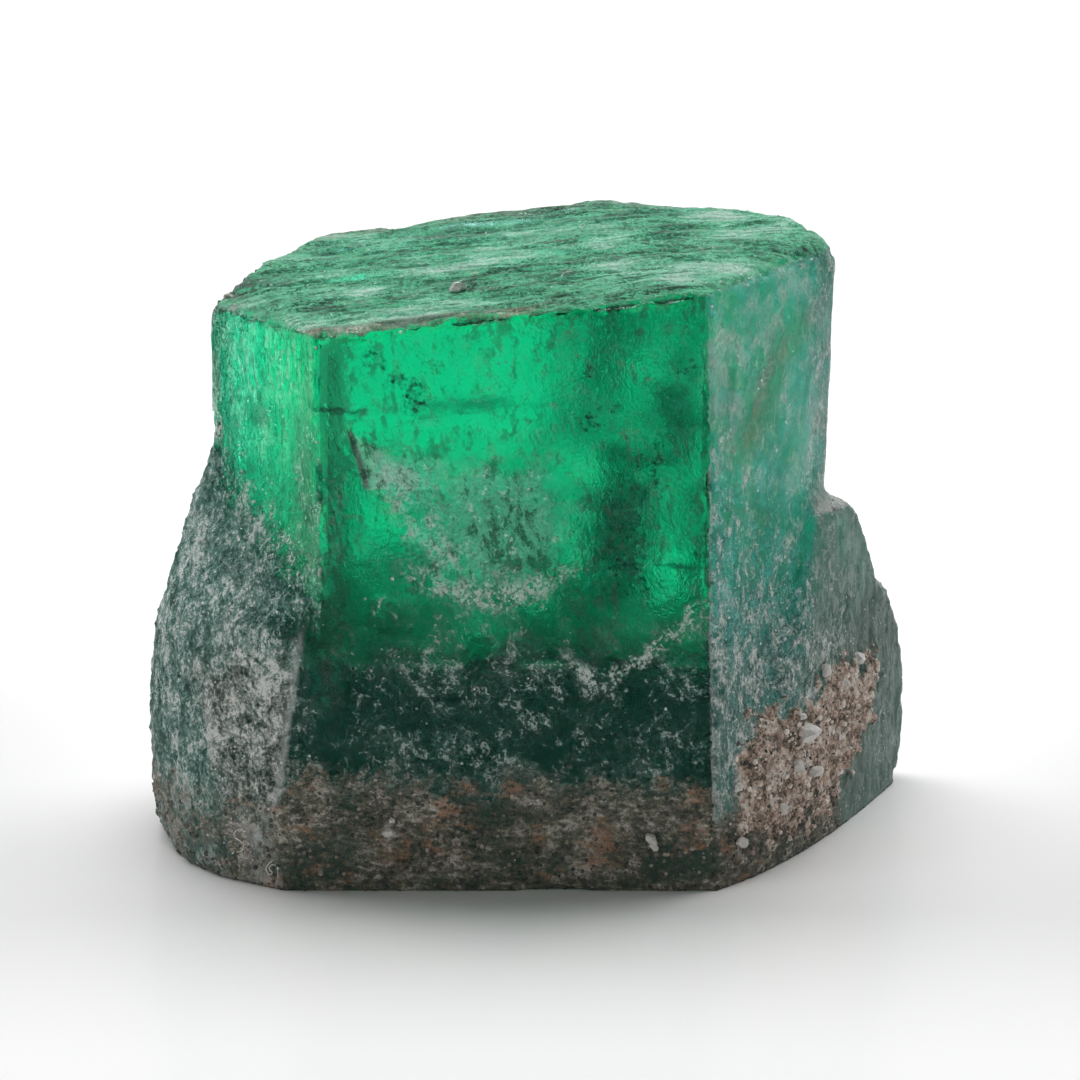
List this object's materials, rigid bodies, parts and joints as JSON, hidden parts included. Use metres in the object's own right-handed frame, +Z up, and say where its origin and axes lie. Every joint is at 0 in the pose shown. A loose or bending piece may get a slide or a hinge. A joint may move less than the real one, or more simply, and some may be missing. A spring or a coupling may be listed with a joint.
{
  "type": "raw emerald crystal",
  "caption": "Raw emerald: a short, wide six-sided green beryl crystal with a tilted rough end, stepped growths and a crusted foot.",
  "frame": {"origin": "centre of the bounding box at the height of the flat underside that the crystal rests on", "axes": "+X along the broad front prism face, to the stepped growths; +Y from the front face to the back face; +Z up, along the crystal's c axis"},
  "size_m": [0.02, 0.0104, 0.0161],
  "materials": {
    "emerald": "glassy green upper half, frosted and striated on its sides and end, with grey-white bloom and brown-grey mica skin low down",
    "mica_skin": "dull brown-grey mica schist skin with fine glints",
    "feldspar_quartz": "pale pink feldspar and white quartz grains",
    "veil": "milky healed fractures and clouds sealed in the crystal"
  },
  "bodies": {
    "root": {"emerald_crystal": "emerald"}
  },
  "joints": []
}
